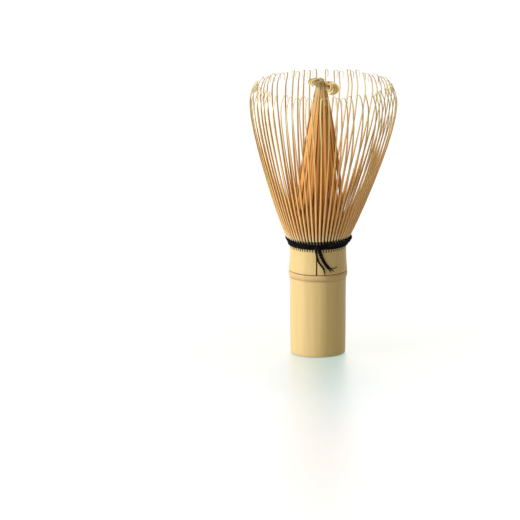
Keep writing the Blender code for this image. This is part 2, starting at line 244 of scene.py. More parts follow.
def makeSkinBamboo():
    # Bamboo culm skin, scraped and dried: pale straw, satin, with faint fibres along the culm.
    # Brown lines edge the ring at its node. Painted shade darkens the saw cuts under the thread, the
    # drying crack that runs from the thread's loose end down to the ring, and the foot's lower edge.
    look = {
        "fibre": 0.45 * mm,                # a fibre's width
        "band": 3.2 * mm,                  # broad streaks of tone
        "alongScale": 0.022,               # fibres and streaks are drawn out along the culm by this
        "waver": 4.76 * mm,                # size of the noise that makes the marks' edges waver
        "ringFrom": 31.15 * mm,            # the ring's colours are laid out over this and the next
        "ringTo": 36.15 * mm,
        "ringWander": 0.5 * mm,
        "cutShade": (0.19 * mm, 0.34 * mm),  # painted shade in and beside the saw cuts: dark up to the first, gone at the second
        "cutShadeFoot": (44.75 * mm, 45.15 * mm),
        "cutShadeRadius": 11.7 * mm,        # how far from the axis those widths are meant
        "crackWaver": (0.25 * mm, 0.12 * mm),   # how far the crack's painted shade wavers, and its middle
        "crackShade": (0.24 * mm, 0.36 * mm),
        "crackFoot": (34.85 * mm, 35.0 * mm),
        "crackTop": (46.0 * mm, 47.0 * mm),
        "crackSide": (-9 * mm, -8 * mm),   # only the front of the culm has it
        "footShade": (0.1 * mm, 0.5 * mm),  # painted contact shade along the foot's lower edge
    }
    material, tree, shader = newMaterial("scraped bamboo skin")
    place = addNode(tree, "ShaderNodeTexCoord").outputs["Object"]
    axes = addNode(tree, "ShaderNodeSeparateXYZ", {0: place})
    stretched = addNode(tree, "ShaderNodeMapping", {
        "Vector": place, "Scale": (1, 1, look["alongScale"]),
    })
    fibres = addNode(tree, "ShaderNodeTexNoise", {
        "Vector": stretched, "Scale": 0.5 / look["fibre"], "Detail": 3.0, "Roughness": 0.6,
    })
    bands = addNode(tree, "ShaderNodeTexNoise", {
        "Vector": stretched, "Scale": 0.5 / look["band"], "Detail": 2.0,
    })
    straw = addNode(tree, "ShaderNodeValToRGB", {"Fac": fibres}, stops=(
        (0.30, "#DBB977"), (0.70, "#E7C98A"),
    ))
    paint = addNode(tree, "ShaderNodeMix", {
        0: bands, mixA: hexColour("#E4C483"), mixB: straw,
    }, data_type="RGBA")

    wobble = addNode(tree, "ShaderNodeTexNoise", {
        "Vector": place, "Scale": 1 / look["waver"], "Detail": 4.0,
    })
    wobbled = addNode(tree, "ShaderNodeMath", {
        0: wobble, 1: look["ringWander"], 2: axes.outputs["Z"],
    }, operation="MULTIPLY_ADD")
    atRing = addNode(tree, "ShaderNodeMapRange", {
        "Value": wobbled, "From Min": look["ringFrom"], "From Max": look["ringTo"],
    })
    ring = addNode(tree, "ShaderNodeValToRGB", {"Fac": atRing}, stops=(
        (0.22, "#000000"), (0.86, "#000000"), (0.30, "#FFFFFF"), (0.78, "#FFFFFF"),
    ))
    lines = addNode(tree, "ShaderNodeValToRGB", {"Fac": atRing}, stops=(
        (0.17, "#000000"), (0.89, "#000000"), (0.25, "#808080"), (0.35, "#909090"),
        (0.44, "#101010"), (0.77, "#202020"), (0.81, "#FFFFFF"), (0.85, "#F0F0F0"),
    ))

    aside = addNode(tree, "ShaderNodeMath", {0: axes.outputs["X"], 1: axisX}, operation="SUBTRACT")
    azimuth = addNode(tree, "ShaderNodeMath", {0: axes.outputs["Y"], 1: aside}, operation="ARCTAN2")
    inPitches = addNode(tree, "ShaderNodeMath", {0: azimuth, 1: pitch}, operation="DIVIDE")
    fromCut = addNode(tree, "ShaderNodeMath", {0: inPitches, 1: 0.5}, operation="PINGPONG")
    cutWidths = [width / (pitch * look["cutShadeRadius"]) for width in look["cutShade"]]
    sawn = shownWithin(tree, (fromCut, cutWidths, (1, 0)), (wobbled, look["cutShadeFoot"], (0, 1)))

    # painted shade: the crack's walls and floor are coloured dark, as the shade inside it
    waver, middle = look["crackWaver"]
    wavering = addNode(tree, "ShaderNodeMath", {
        0: wobble, 1: waver, 2: aside,
    }, operation="MULTIPLY_ADD")
    fromCrack = addNode(tree, "ShaderNodeMath", {
        0: wavering, 1: whisk["crackOff"] + middle,
    }, operation="SUBTRACT")
    away = addNode(tree, "ShaderNodeMath", {0: fromCrack}, operation="ABSOLUTE")
    paintedCrackShade = shownWithin(
        tree, (away, look["crackShade"], (1, 0)), (axes.outputs["Z"], look["crackFoot"], (0, 1)),
        (axes.outputs["Z"], look["crackTop"], (1, 0)), (axes.outputs["Y"], look["crackSide"], (1, 0)),
    )
    # painted shade where the foot meets the floor
    paintedFootShade = shownWithin(tree, (wobbled, look["footShade"], (0.7, 0)))
    # the foot's edge, the saw cuts and the crack are painted darker as shade; the ring and its lines are
    # the node's own colours
    for mask, colour in (
        (paintedFootShade, "#8A6A38"), (ring, "#DCB67C"), (lines, "#75502A"), (sawn, "#5E3E1C"),
        (paintedCrackShade, "#331A08"),
    ):
        paint = addNode(tree, "ShaderNodeMix", {
            0: mask, mixA: paint.outputs[mixOut], mixB: hexColour(colour),
        }, data_type="RGBA")
    rough = addNode(tree, "ShaderNodeMapRange", {"Value": fibres, "To Min": 0.34, "To Max": 0.46})
    flats = addNode(tree, "ShaderNodeBump", {"Height": bands, "Strength": 1.0, "Distance": 0.55 * mm})
    bump = addNode(tree, "ShaderNodeBump", {
        "Height": fibres, "Strength": 0.15, "Distance": 0.05 * mm, "Normal": flats,
    })
    feed(tree, shader, {
        "Base Color": paint.outputs[mixOut], "Roughness": rough, "Normal": bump,
        "Specular IOR Level": 0.3,
    })
    return material


def makeCutBamboo():
    # Bamboo sawn across: bundles of fibre show as small brown dots in a pale ground.
    material, tree, shader = newMaterial("sawn bamboo end")
    place = addNode(tree, "ShaderNodeTexCoord").outputs["Object"]
    bundle = 0.55 * mm                     # from one bundle to the next
    flat = addNode(tree, "ShaderNodeMapping", {"Vector": place, "Scale": (1, 1, 0.05)})
    dots = addNode(tree, "ShaderNodeTexVoronoi", {"Vector": flat, "Scale": 1 / bundle})
    colour = addNode(tree, "ShaderNodeValToRGB", {"Fac": dots.outputs["Distance"]}, stops=(
        (0.10, "#9A6E3C"), (0.42, "#E2C58A"),
    ))
    feed(tree, shader, {"Base Color": colour, "Roughness": 0.7})
    return material


def makeTineBamboo(name, colours, side, tones, glow):
    # Split bamboo, shaved thin: fibres run the whole length, side is the split sides' tone as a
    # share of the faces', partly their own darker colour and partly painted shade between close tines,
    # and each tine has its own tone, mostly between the two given. The colours run from its root to its
    # tip, and glow is how much light the thin shaving passes.
    material, tree, shader = newMaterial(name)
    straight = addNode(tree, "ShaderNodeAttribute", attribute_name="straightPlace")
    tone = addNode(tree, "ShaderNodeAttribute", attribute_name="tineTone")
    share = addNode(tree, "ShaderNodeAttribute", attribute_name="tineShare")
    base = addNode(tree, "ShaderNodeValToRGB", {"Fac": share.outputs["Fac"]}, stops=colours)
    fibreWidth = 0.14 * mm                 # drawn twice as coarse as real fibres, so that they show
    stretched = addNode(tree, "ShaderNodeMapping", {
        "Vector": straight.outputs["Vector"], "Scale": (1, 1, 0.03),
    })
    fibres = addNode(tree, "ShaderNodeTexNoise", {
        "Vector": stretched, "W": tone.outputs["Fac"], "Scale": 0.5 / fibreWidth, "Detail": 2.0,
    }, noise_dimensions="4D")
    fibreTone = addNode(tree, "ShaderNodeMapRange", {
        "Value": fibres, "From Min": 0.3, "From Max": 0.7, "To Min": 0.86, "To Max": 1.10,
    })
    ownTone = addNode(tree, "ShaderNodeMapRange", {
        "Value": tone.outputs["Fac"], "To Min": tones[0], "To Max": tones[1],
    }, clamp=False)
    both = addNode(tree, "ShaderNodeMath", {0: fibreTone, 1: ownTone}, operation="MULTIPLY")
    edge = addNode(tree, "ShaderNodeAttribute", attribute_name="tineEdge")
    # the split sides are darker: partly their own colour, partly painted shade between neighbouring
    # tines
    sideTone = addNode(tree, "ShaderNodeMapRange", {
        "Value": edge.outputs["Fac"], "From Min": 0.62, "From Max": 0.95, "To Min": 1.0, "To Max": side,
    })
    wholeTone = addNode(tree, "ShaderNodeMath", {0: both, 1: sideTone}, operation="MULTIPLY")
    toned = addNode(tree, "ShaderNodeVectorMath", {0: base, "Scale": wholeTone}, operation="SCALE")
    bump = addNode(tree, "ShaderNodeBump", {"Height": fibres, "Strength": 0.3, "Distance": 0.03 * mm})
    feed(tree, shader, {
        "Base Color": toned, "Normal": bump, "Roughness": 0.5, "Specular IOR Level": 0.3,
        "Subsurface Weight": glow, "Subsurface Radius": (1.0, 0.55, 0.25),
        "Subsurface Scale": 0.5 * mm,
    })
    return material


def makeCottonThread():
    # Dyed cotton, two plies twisted: matt black with a cold tint and loose fuzz.
    material, tree, shader = newMaterial("black cotton thread")
    place = addNode(tree, "ShaderNodeTexCoord").outputs["Object"]
    tuft = 0.12 * mm                       # from one tuft of fuzz to the next
    fuzz = addNode(tree, "ShaderNodeTexNoise", {"Vector": place, "Scale": 1 / tuft, "Detail": 3.0})
    colour = addNode(tree, "ShaderNodeValToRGB", {"Fac": fuzz}, stops=(
        (0.35, "#030304"), (0.75, "#0B0A10"),
    ))
    bump = addNode(tree, "ShaderNodeBump", {"Height": fuzz, "Strength": 0.6, "Distance": 0.05 * mm})
    feed(tree, shader, {
        "Base Color": colour, "Normal": bump, "Roughness": 0.85, "Specular IOR Level": 0.14,
    })
    return material


skinBamboo = makeSkinBamboo()
cutBamboo = makeCutBamboo()
outerBamboo = makeTineBamboo("shaved bamboo, outer row", (
    (0.0, "#F6E6C0"), (1.0, "#EBDCA8"), (0.035, "#F4D29A"), (0.09, "#F0B872"), (0.3, "#F1BE74"),
    (0.55, "#F0C27A"), (0.8, "#ECD396"),
), side=0.56, tones=(1.0, 1.20), glow=0.3)
# the inner row starts near black at its root: painted shade deep inside the basket
innerBamboo = makeTineBamboo("shaved bamboo, inner row", (
    (0.0, "#2A1204"), (1.0, "#F0DDA6"), (0.07, "#3E1C08"), (0.15, "#BC7434"), (0.34, "#F7A650"),
    (0.8, "#F6B668"), (0.88, "#E2BA76"),
), side=0.70, tones=(0.70, 1.18), glow=0.2)
cottonThread = makeCottonThread()
say("materials made")


# The culm, turned from its outline and then cut.

culm = {
    "sides": 128,
    "foot": 11.35 * mm,                    # outer radius at the foot
    "collarFoot": 12.10 * mm,              # outer radius just over the node
    "collarTop": 11.62 * mm,
    "collarFrom": 35.3 * mm,
    "taper": 8.8 * mm,                     # height over which the collar narrows
    "wall": 3.1 * mm,
    "ringHeight": 33.65 * mm,
    "innerWall": 0.9 * mm,                 # half the thickness of the wall inside the node
    "boreEdge": 9.0 * mm,                  # what lies nearer to the axis is bore
    "kerfWidth": 0.30 * mm,
    "kerfUneven": (0.8, 1.15),             # least and greatest factor on that width
    "kerfs": (2.7 * mm, 3.3 * mm),         # least and greatest depth of the saw cuts
    "bladeReach": (7.3 * mm, 13.0 * mm),
    "bladeHeight": 5 * mm,
    "crackWidth": 0.36 * mm,
    "crackSpan": (34.9 * mm, 46.8 * mm),
    "crackMiddle": 12.0 * mm,              # the wedge that cuts it lies this far out
    "crackDepth": 2.2 * mm,                # and is this deep
    "crackClose": 0.35,                    # its width at the top, as a share
}


def collarRadius(height):
    t = min(max((height - culm["collarFrom"]) / culm["taper"], 0.0), 1.0)
    return mix(culm["collarFoot"], culm["collarTop"], math.sin(math.pi / 2 * t))


def culmOutline():
    upperBore = culm["collarTop"] - culm["wall"]
    footBore = culm["foot"] - culm["wall"]
    ringZ = culm["ringHeight"]
    outline = [(upperBore, ringZ + culm["innerWall"]), (upperBore, culmTop)]
    outline += [(radius * mm, height * mm) for radius, height in (   # spread by the thread
        (12.40, 47.8), (12.02, 47.1), (11.74, 46.4),
    )]
    for height in (45.6, 44.45, 42.5, 40.5, 38.5, 37.0, 36.0, 35.4):
        outline.append((collarRadius(height * mm), height * mm))
    outline += [(radius * mm, height * mm) for radius, height in (   # the ring and the foot
        (12.04, 35.22), (11.90, 35.10), (11.89, 34.98), (12.0, 34.86), (12.11, 34.64),
        (12.17, 34.25), (12.17, 33.65), (12.11, 33.15), (12.0, 32.75), (11.80, 32.53),
        (11.74, 32.37), (11.74, 32.23), (11.75, 31.95), (11.71, 31.3), (11.66, 30.4),
        (11.60, 29.4), (11.58, 27.0), (11.56, 20.0), (11.50, 10.0), (11.40, 3.0),
        (11.35, 0.5), (11.27, 0.2), (11.1, 0.03), (10.9, 0.0),
    )]
    outline += [(footBore, 0.0), (footBore, ringZ - culm["innerWall"])]
    return outline


def turnShape(name, outline, sides):
    # a filled circle, extruded ring by ring along the outline and closed at the axis
    radius, height = outline[0]
    deselectAll()
    bpy.ops.mesh.primitive_circle_add(
        vertices=sides, radius=radius, fill_type="TRIFAN", location=(axisX, 0, height),
    )
    shape = bpy.context.object
    shape.name = name
    bpy.ops.object.mode_set(mode="EDIT")
    bpy.ops.mesh.select_all(action="SELECT")
    bpy.ops.mesh.region_to_loop()
    for nextRadius, nextHeight in outline[1:]:
        bpy.ops.mesh.extrude_region_move(
            TRANSFORM_OT_translate={"value": (0, 0, nextHeight - height)},
        )
        grow = nextRadius / radius
        bpy.ops.transform.resize(value=(grow, grow, 1), center_override=(axisX, 0, nextHeight))
        radius, height = nextRadius, nextHeight
    bpy.ops.mesh.extrude_region_move(TRANSFORM_OT_translate={"value": (0, 0, 0)})
    bpy.ops.mesh.merge(type="CENTER")
    weld(shape)
    bakePlace(shape)
    return shape


def growUnevenly(shape):
    # a grown stem is never quite round, and its ring wanders a little
    for vertex in shape.data.vertices:
        x, y, z = vertex.co.x - axisX, vertex.co.y, vertex.co.z
        radius = math.hypot(x, y)
        if radius < culm["boreEdge"]:
            continue
        azimuth = math.atan2(y, x)
        fade = ease((culmTop - z) / (4 * mm))
        swell = 0.045 * math.cos(2 * azimuth + 0.7) + 0.02 * math.cos(3 * azimuth + 130 * z)
        swell += 0.012 * math.sin(7 * azimuth - 90 * z)
        factor = (radius + swell * mm * fade) / radius
        vertex.co.x = axisX + x * factor
        vertex.co.y = y * factor
        nearRing = max(0.0, 1 - abs(z - culm["ringHeight"]) / (4 * mm))
        wander = 0.07 * math.sin(3 * azimuth + 1.0) + 0.04 * math.sin(8 * azimuth)
        vertex.co.z = z + wander * mm * nearRing


def makeBlades():
    # a saw blade for each cut round the culm's top, and one thin wedge for the crack
    inner, outer = culm["bladeReach"]
    tall = culm["bladeHeight"]
    blades = []
    for index in range(whisk["tines"]):
        depth = mix(*culm["kerfs"], chance.random())
        width = culm["kerfWidth"] * mix(*culm["kerfUneven"], chance.random())
        middle = ((inner + outer) / 2, 0, culmTop - depth + tall / 2)
        blade = addBlock(middle, (outer - inner, width, tall))
        turn = Matrix.Rotation(front + index * pitch, 4, "Z")
        blade.data.transform(Matrix.Translation((axisX, 0, 0)) @ turn)
        blades.append(blade)
    low, high = culm["crackSpan"]
    middle = (axisX + whisk["crackOff"], -culm["crackMiddle"], (low + high) / 2)
    crack = addBlock(middle, (culm["crackWidth"], culm["crackDepth"], high - low))
    for vertex in crack.data.vertices:     # the crack closes towards its top
        if vertex.co.z > (low + high) / 2:
            vertex.co.x = mix(axisX + whisk["crackOff"], vertex.co.x, culm["crackClose"])
    blades.append(crack)
    return joinAll("blades", blades)


def cutAway(shape, cutter):
    makeActive(shape)
    cut = shape.modifiers.new("cut", "BOOLEAN")
    cut.operation = "DIFFERENCE"
    cut.solver = "EXACT"
    cut.object = cutter
    bpy.ops.object.modifier_apply(modifier=cut.name)
    bpy.data.objects.remove(cutter, do_unlink=True)


def makeCulm():
    piece = turnShape("culm", culmOutline(), culm["sides"])
    growUnevenly(piece)
    cutAway(piece, makeBlades())
    piece.data.materials.append(skinBamboo)
    piece.data.materials.append(cutBamboo)
    for face in piece.data.polygons:       # the bore, the foot and the top show sawn bamboo
        reach = math.hypot(face.center.x - axisX, face.center.y)
        across = abs(face.normal.z) > 0.7
        atEnd = not 0.1 * mm < face.center.z < culmTop - mm
        if reach < culm["boreEdge"] or (across and atEnd):
            face.material_index = 1
    makeActive(piece)
    bpy.ops.object.shade_smooth_by_angle(angle=math.radians(38))
    finishPiece(piece, "handle_culm")


makeCulm()
say("culm turned and cut")


# The tines: one straight strip, copied and laid along each tine's own line.

strip = {
    "rings": 29,                           # a tine's line has as many points
    "round": 0.2,                          # share of the strip's width that an edge's rounding takes
}


def makeStrip():
    # a bar 1 wide, 1 thick and 1 long, sliced into rings, its four long edges rounded
    bar = addBlock((0, 0, 0.5), (1, 1, 1))
    bar.name = "strip"
    bpy.ops.object.mode_set(mode="EDIT")
    last = strip["rings"] - 1
    for k in range(1, last):
        bpy.ops.mesh.select_all(action="SELECT")
        bpy.ops.mesh.bisect(plane_co=(0, 0, k / last), plane_no=(0, 0, 1))

    def isCorner(edge):
        a, b = (bar.data.vertices[v].co for v in edge.vertices)
        return abs(a.x - b.x) < 1e-4 and abs(a.y - b.y) < 1e-4

    selectEdges(bar, isCorner)
    bpy.ops.mesh.bevel(offset=strip["round"], segments=1, affect="EDGES")
    bpy.ops.object.mode_set(mode="OBJECT")
    return bar


straightStrip = makeStrip()


def layStrip(points, facings, twists, tones, sizes):
    # ring k of a copy goes to point k; across and outward follow the facing and the twist there
    mesh = straightStrip.data.copy()
    last = len(points) - 1
    widths = [track(sizes["widths"], k / last) * mm for k in range(last + 1)]
    depths = [track(sizes["depths"], k / last) * mm for k in range(last + 1)]
    frames = []
    gone = 0.0
    for k, point in enumerate(points):
        along = (points[min(k + 1, last)] - points[max(k - 1, 0)]).normalized()
        across = Vector((math.sin(facings[k]), -math.cos(facings[k]), 0))
        across = (across - along * across.dot(along)).normalized()
        turn = Matrix.Rotation(twists[k], 3, along)
        gone += (point - points[max(k - 1, 0)]).length
        frames.append((point, turn @ across, turn @ along.cross(across), gone))
    mesh.attributes.new("straightPlace", "FLOAT_VECTOR", "POINT")
    marks = ("tineShare", "tineTone", "tineEdge")
    for mark in marks:
        mesh.attributes.new(mark, "FLOAT", "POINT")
    straight = mesh.attributes["straightPlace"].data
    share, toneOf, edgeOf = (mesh.attributes[mark].data for mark in marks)
    for vertex in mesh.vertices:
        k = round(vertex.co.z * last)
        point, across, outward, gone = frames[k]
        edge = 2 * abs(vertex.co.x)
        x = vertex.co.x * widths[k]
        y = vertex.co.y * depths[k]
        vertex.co = point + across * x + outward * y
        straight[vertex.index].vector = (x, y, gone)
        share[vertex.index].value = gone / frames[-1][3]
        toneOf[vertex.index].value = tones[k]
        edgeOf[vertex.index].value = edge
    return addObject("tine", mesh)


def bendOn(points, facings, heading, arcs, turn=0.0, turnFrom=0, turnSteps=1):
    # carries a line on through arcs of (radius, angle, steps, shrink), bending in towards the
    # axis, while the plane that it bends in turns by an angle over some of the steps
    facing = facings[-1]
    step = 0
    for radius, angle, steps, shrink in arcs:
        half = angle / steps / 2
        for k in range(steps):
            heading += half
            step += 1
            now = facing + turn * ease((step - turnFrom) / turnSteps)
            inward = Vector((-math.cos(now), -math.sin(now), 0))
            reach = 2 * radius * mix(1, shrink, k / steps) * math.sin(abs(half))
            way = inward * math.sin(heading) + Vector((0, 0, math.cos(heading)))
            points.append(points[-1] + way * reach)
            facings.append(now)
            heading += half


basket = {
    "footRadius": 11.75 * mm,
    "rootRadius": 12.25 * mm,
    "rootHeight": 48.5 * mm,
    "flare": 38,
    "flarePull": 2.8 * mm,
    "rimRadius": 30.5 * mm,
    "rimRise": 57.85 * mm,
    "rimPull": 14.9 * mm,
    "riseUneven": (-0.6, 0.5),             # in millimetres: how much lower or higher the rim comes,
    "rimUneven": (-0.4, 0.15),             # and how much further in or out
    "bodyRings": 13,
    "crowding": 1.25,                      # the rings lie closer towards the root
    "shoulder": (12.3 * mm, 35),           # radius and angle of the bend in towards the tip
    "hook": (0.98 * mm, 147),
    "hookUneven": ((0.8, 1.3), (-14, 10)),  # a factor on its radius, and degrees more or less
    "drop": (9.0 * mm, 14),                # the tip beyond the hook, nearly straight
    "hookTurn": (70, 35),                  # they turn to either side in groups, give or take the second
    "twist": -0.9,                         # at its rim the basket is twisted by this many pitches,
    "wander": (0.22, 0.10),                # and its tines wander by so many, in groups and alone
    "waves": 5,
    "lean": 0.25,                          # up to this far, in radians, a tine is turned on its line
    "widths": (
        (0, 0.62), (0.03, 0.64), (0.08, 0.74), (0.13, 0.90), (0.18, 0.91), (0.25, 0.79),
        (0.34, 0.66), (0.5, 0.52), (0.8, 0.36), (1, 0.23),
    ),
    "depths": (
        (0, 1.15), (0.025, 0.80), (0.15, 1.0), (0.21, 1.0), (0.26, 0.82), (0.4, 0.40),
        (0.55, 0.26), (0.85, 0.16), (1, 0.13),
    ),
}


def outerTine(index):
    azimuth = front + (index + 0.5) * pitch
    wave = math.tau * basket["waves"] * index / whisk["tines"]
    inGroups, alone = basket["wander"]
    wander = pitch * (inGroups * math.sin(2 * wave) + chance.gauss(0, alone))
    side = 1 if math.sin(wave) > 0 else -1
    sideways, more = basket["hookTurn"]
    hookTurn = math.radians(sideways * side + chance.uniform(-more, more))
    root = (basket["rootRadius"], basket["rootHeight"])
    rootPull = pulled(root, basket["flarePull"], math.radians(basket["flare"]))
    rise = basket["rimRise"] + chance.uniform(*basket["riseUneven"]) * mm
    rim = (basket["rimRadius"] + chance.uniform(*basket["rimUneven"]) * mm, root[1] + rise)
    rimPull = (rim[0], rim[1] - basket["rimPull"])
    points = [aroundAxis(azimuth, basket["footRadius"], culmTop + whisk["rootGap"])]
    facings = [azimuth]
    last = basket["bodyRings"] - 1
    for k in range(last + 1):
        t = (k / last) ** basket["crowding"]
        radius, height = cubicPoint(root, rootPull, rimPull, rim, t)
        facing = azimuth + pitch * basket["twist"] * t + wander * t * t
        points.append(aroundAxis(facing, radius, height, basketLean(height)))
        facings.append(facing)
    shoulder, bend = basket["shoulder"]
    hook, curl = basket["hook"]
    drop, tip = basket["drop"]
    factors, more = basket["hookUneven"]
    bendOn(points, facings, 0.0, (
        (shoulder, math.radians(bend), 4, 1.0),
        (hook * chance.uniform(*factors), math.radians(curl + chance.uniform(*more)), 8, 1.0),
        (drop, math.radians(tip), 3, 1.0),
    ), turn=hookTurn, turnFrom=3, turnSteps=4)
    lean = chance.uniform(-basket["lean"], basket["lean"])
    twists = [lean * ease(2 * k / len(points)) for k in range(len(points))]
    return layStrip(points, facings, twists, [chance.random()] * len(points), basket)


bunch = {
    "footRadius": 9.9 * mm,
    "rootRadius": 10.5 * mm,
    "rootHeight": 48.5 * mm,
    "rootTilt": 1.4,
    "rootPull": 19.0 * mm,
    "neckTilt": 15.6,
    "neckPull": 11.5 * mm,
    "neckRadii": (1.15 * mm, 1.75 * mm, 2.05 * mm),   # the strands lie in layers at the neck
    "layer": (-0.2, 0.1),                  # in millimetres: how far in or out a strand lies lower down,
    "layerStep": 0.5,                      # and how much further in every other one does
    "bodyRings": 15,
    "crowding": 1.1,
    "split": 0.3,                          # strands whose azimuth has a higher cosine curl to the right
    "curlRight": {
        "arcs": (                          # (radius, angle, steps, shrink) of the curled tips,
            ((3.2 * mm, 300, 13, 0.66),),
            ((2.7 * mm, 430, 13, 0.16),),  # and the same for every other one
        ),
        "top": 114.5 * mm,                 # how high they come,
        "fan": 0.36,                       # how widely they fan out, as a share of their azimuth,
        "range": (0.72, 1.0),              # how much the radii differ,
        "shade": ((0, 0), (0.5, 0), (0.6, 0.6), (1, 0.8)),   # and the painted light along them, as a change of tone
    },
    "curlLeft": {
        "arcs": (
            ((1.0 * mm, 98, 5, 1.0), (3.4 * mm, 38, 3, 0.9), (1.2 * mm, 95, 5, 0.8)),
            ((0.8 * mm, 98, 5, 1.0), (2.9 * mm, 38, 3, 0.9), (1.0 * mm, 95, 5, 0.8)),
        ),
        "top": 115.6 * mm,
        "fan": 0.5,
        "range": (0.8, 1.1),
        "shade": (
            (0, 0), (0.1, 0.1), (0.38, 0.1), (0.54, 0.3), (0.6, 0), (0.7, -0.05), (0.86, -0.05),
            (0.93, 0.4), (1, 0.4),
        ),
    },
    "topUneven": 0.9,                      # in millimetres: how much lower some of them stay
    "turnOver": (0.8, 1.5),                # in radians: how far the thin tips twist as they curl
    "neckTone": 0.7,                       # painted light and shade: at the neck, strands are paler to the right and darker to the left by this tone, against the key lamp from the left,
    "neckSpan": ((0.38, 0.1), (0.62, 0.06)),   # from and to these shares, and how softly
    "darkFront": 17,                       # painted shade: strands this near the front
    "darkTone": 0.25,                      # keep only this share of their tone,
    "dimmer": 0.4,                         # and of the rest every other one, the one set further in, loses this share as painted shade
    "flatter": 0.06,                       # the bunch's left side is flatter by this share
    "clumps": (11, 0.22),                  # it gathers in clumps as it dries, by so many pitches,
    "stray": (0.22, 0.9),                  # and each strand strays by so many, half way up and on top
    "spin": 0.6,                           # up to this far, in radians, it is turned on its own line
    "crossing": 0.9,                       # strands cross each other by so many pitches,
    "crossAt": -125,                       # most of all at this azimuth,
    "crossPower": 6,                       # and the higher this is, the less they do elsewhere
    "widths": (
        (0, 0.96), (0.04, 1.0), (0.15, 1.14), (0.4, 1.08), (0.5, 0.9), (0.57, 0.75), (0.8, 0.75),
        (1, 0.5),
    ),
    "depths": ((0, 1.1), (0.04, 0.46), (0.3, 0.36), (0.55, 0.2), (0.75, 0.12), (1, 0.10)),
}


def innerTine(index):
    azimuth = front + (index + 1.0) * pitch
    neckTilt = math.radians(bunch["neckTilt"])
    clumps, clumped = bunch["clumps"]
    clump = math.sin(clumps * azimuth) * clumped
    beside = max(0.0, math.cos(azimuth - math.radians(bunch["crossAt"])))
    crossing = bunch["crossing"] * beside ** bunch["crossPower"] * (1 if index % 2 else -1)
    strayBelow, strayOnTop = bunch["stray"]
    swing = pitch * (clump + crossing + chance.gauss(0, strayBelow))
    drift = pitch * chance.gauss(0, strayOnTop)
    layer = (chance.uniform(*bunch["layer"]) - bunch["layerStep"] * (index % 2)) * mm
    spin = chance.uniform(-bunch["spin"], bunch["spin"])
    right = math.cos(azimuth) > bunch["split"]
    curl = bunch["curlRight"] if right else bunch["curlLeft"]
    grow = chance.uniform(*curl["range"])
    arcs = [
        (radius * grow, -math.radians(angle), steps, shrink)
        for radius, angle, steps, shrink in curl["arcs"][index % 2]
    ]
    top = curl["top"] - arcs[0][0] * (1 + math.sin(neckTilt))
    top -= chance.uniform(0, bunch["topUneven"]) * mm
    root = (bunch["rootRadius"], bunch["rootHeight"])
    rootPull = pulled(root, bunch["rootPull"], math.radians(bunch["rootTilt"]))
    neck = (bunch["neckRadii"][index % 3], top)
    neckPull = pulled(neck, -bunch["neckPull"], -neckTilt)
    points = [aroundAxis(azimuth, bunch["footRadius"], culmTop + whisk["rootGap"])]
    facings = [azimuth]
    twists = [0.0]
    last = bunch["bodyRings"] - 1
    for k in range(last + 1):
        t = (k / last) ** bunch["crowding"]
        radius, height = cubicPoint(root, rootPull, neckPull, neck, t)
        middle = math.sin(math.pi * min(t * 1.05, 1.0))
        facing = azimuth + swing * middle + drift * t * t
        radius *= 1 - bunch["flatter"] * middle * max(0.0, -math.cos(facing))
        points.append(aroundAxis(facing, radius + layer * middle, height, bunchLean(height)))
        facings.append(facing)
        twists.append(spin * middle)
    fanned = math.remainder(facings[-1] - (0 if right else math.pi), math.tau)
    bendOn(points, facings, neckTilt, arcs, turn=-fanned * (1 - curl["fan"]), turnSteps=4)
    turnOver = chance.choice((-1, 1)) * chance.uniform(*bunch["turnOver"])
    twists += [turnOver * ease(k / 9) for k in range(len(points) - len(twists))]
    # painted shade on the strands at the front and on those set further in
    fromFront = abs(math.remainder(azimuth - front, math.tau))
    dark = fromFront < math.radians(bunch["darkFront"])
    tone = chance.random() * (bunch["darkTone"] if dark else 1 - bunch["dimmer"] * (index % 2))
    (neckFrom, rise), (neckTo, fall) = bunch["neckSpan"]
    tones = []
    for k in range(len(points)):
        share = k / (len(points) - 1)
        # painted light and shade at the neck, evening out the key lamp's light
        atNeck = ease((share - neckFrom) / rise) * ease((neckTo - share) / fall)
        tones.append(tone + track(curl["shade"], share) + bunch["neckTone"] * math.cos(azimuth) * atNeck)
    return layStrip(points, facings, twists, tones, bunch)


def makeStaves():
    for stave in range(whisk["staves"]):
        members = range(stave * perStave, (stave + 1) * perStave)
        for name, node, tineOf, bamboo, slotName in (
            ("outerTines", "outer_tines", outerTine, outerBamboo, "outer_tine_bamboo"),
            ("innerTines", "inner_tines", innerTine, innerBamboo, "inner_tine_bamboo"),
        ):
            piece = joinAll(f"{name}{stave + 1:02d}", [tineOf(index) for index in members])
            piece.data.materials.append(bamboo)
            makeActive(piece)
            bpy.ops.object.shade_smooth_by_angle(angle=math.radians(50))
            finishPiece(piece, f"{node}_{stave + 1:02d}")


makeStaves()
bpy.data.objects.remove(straightStrip, do_unlink=True)
say("tines split and bent")


# The thread: two plies twisted, wound round the roots and knotted in front.

